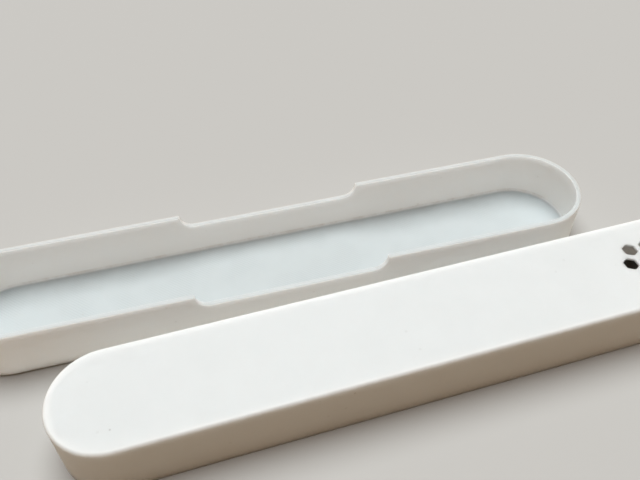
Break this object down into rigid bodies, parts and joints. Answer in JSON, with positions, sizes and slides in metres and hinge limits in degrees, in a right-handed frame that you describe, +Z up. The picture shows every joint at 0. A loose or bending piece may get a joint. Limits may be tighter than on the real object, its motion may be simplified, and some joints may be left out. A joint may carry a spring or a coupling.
{
  "type": "toothbrush case",
  "caption": "Slim toothbrush case: an open tray with round ends and finger notches, and a hollow cover with hexagonal vents that drops into it, taken off and stood beside it.",
  "frame": {"origin": "centre of the tray's flat underside, on the surface that both pieces stand on", "axes": "+X along the tray's length towards the end beside the cover's vents, +Z up out of the open tray, +Y away from the cover"},
  "size_m": [0.2312, 0.0797, 0.0188],
  "materials": {
    "tray_plastic": "satin white, with fine print layers",
    "cover_plastic": "satin white, with fine print layers"
  },
  "bodies": {
    "tray": {"outer_tray": "tray_plastic"},
    "cover": {"vented_cover": "cover_plastic"}
  },
  "joints": [
    {"name": "cover_lift", "type": "slide", "parent": "tray", "child": "cover", "axis": [0, 0, 1], "range_m": [0, 0.04]}
  ]
}
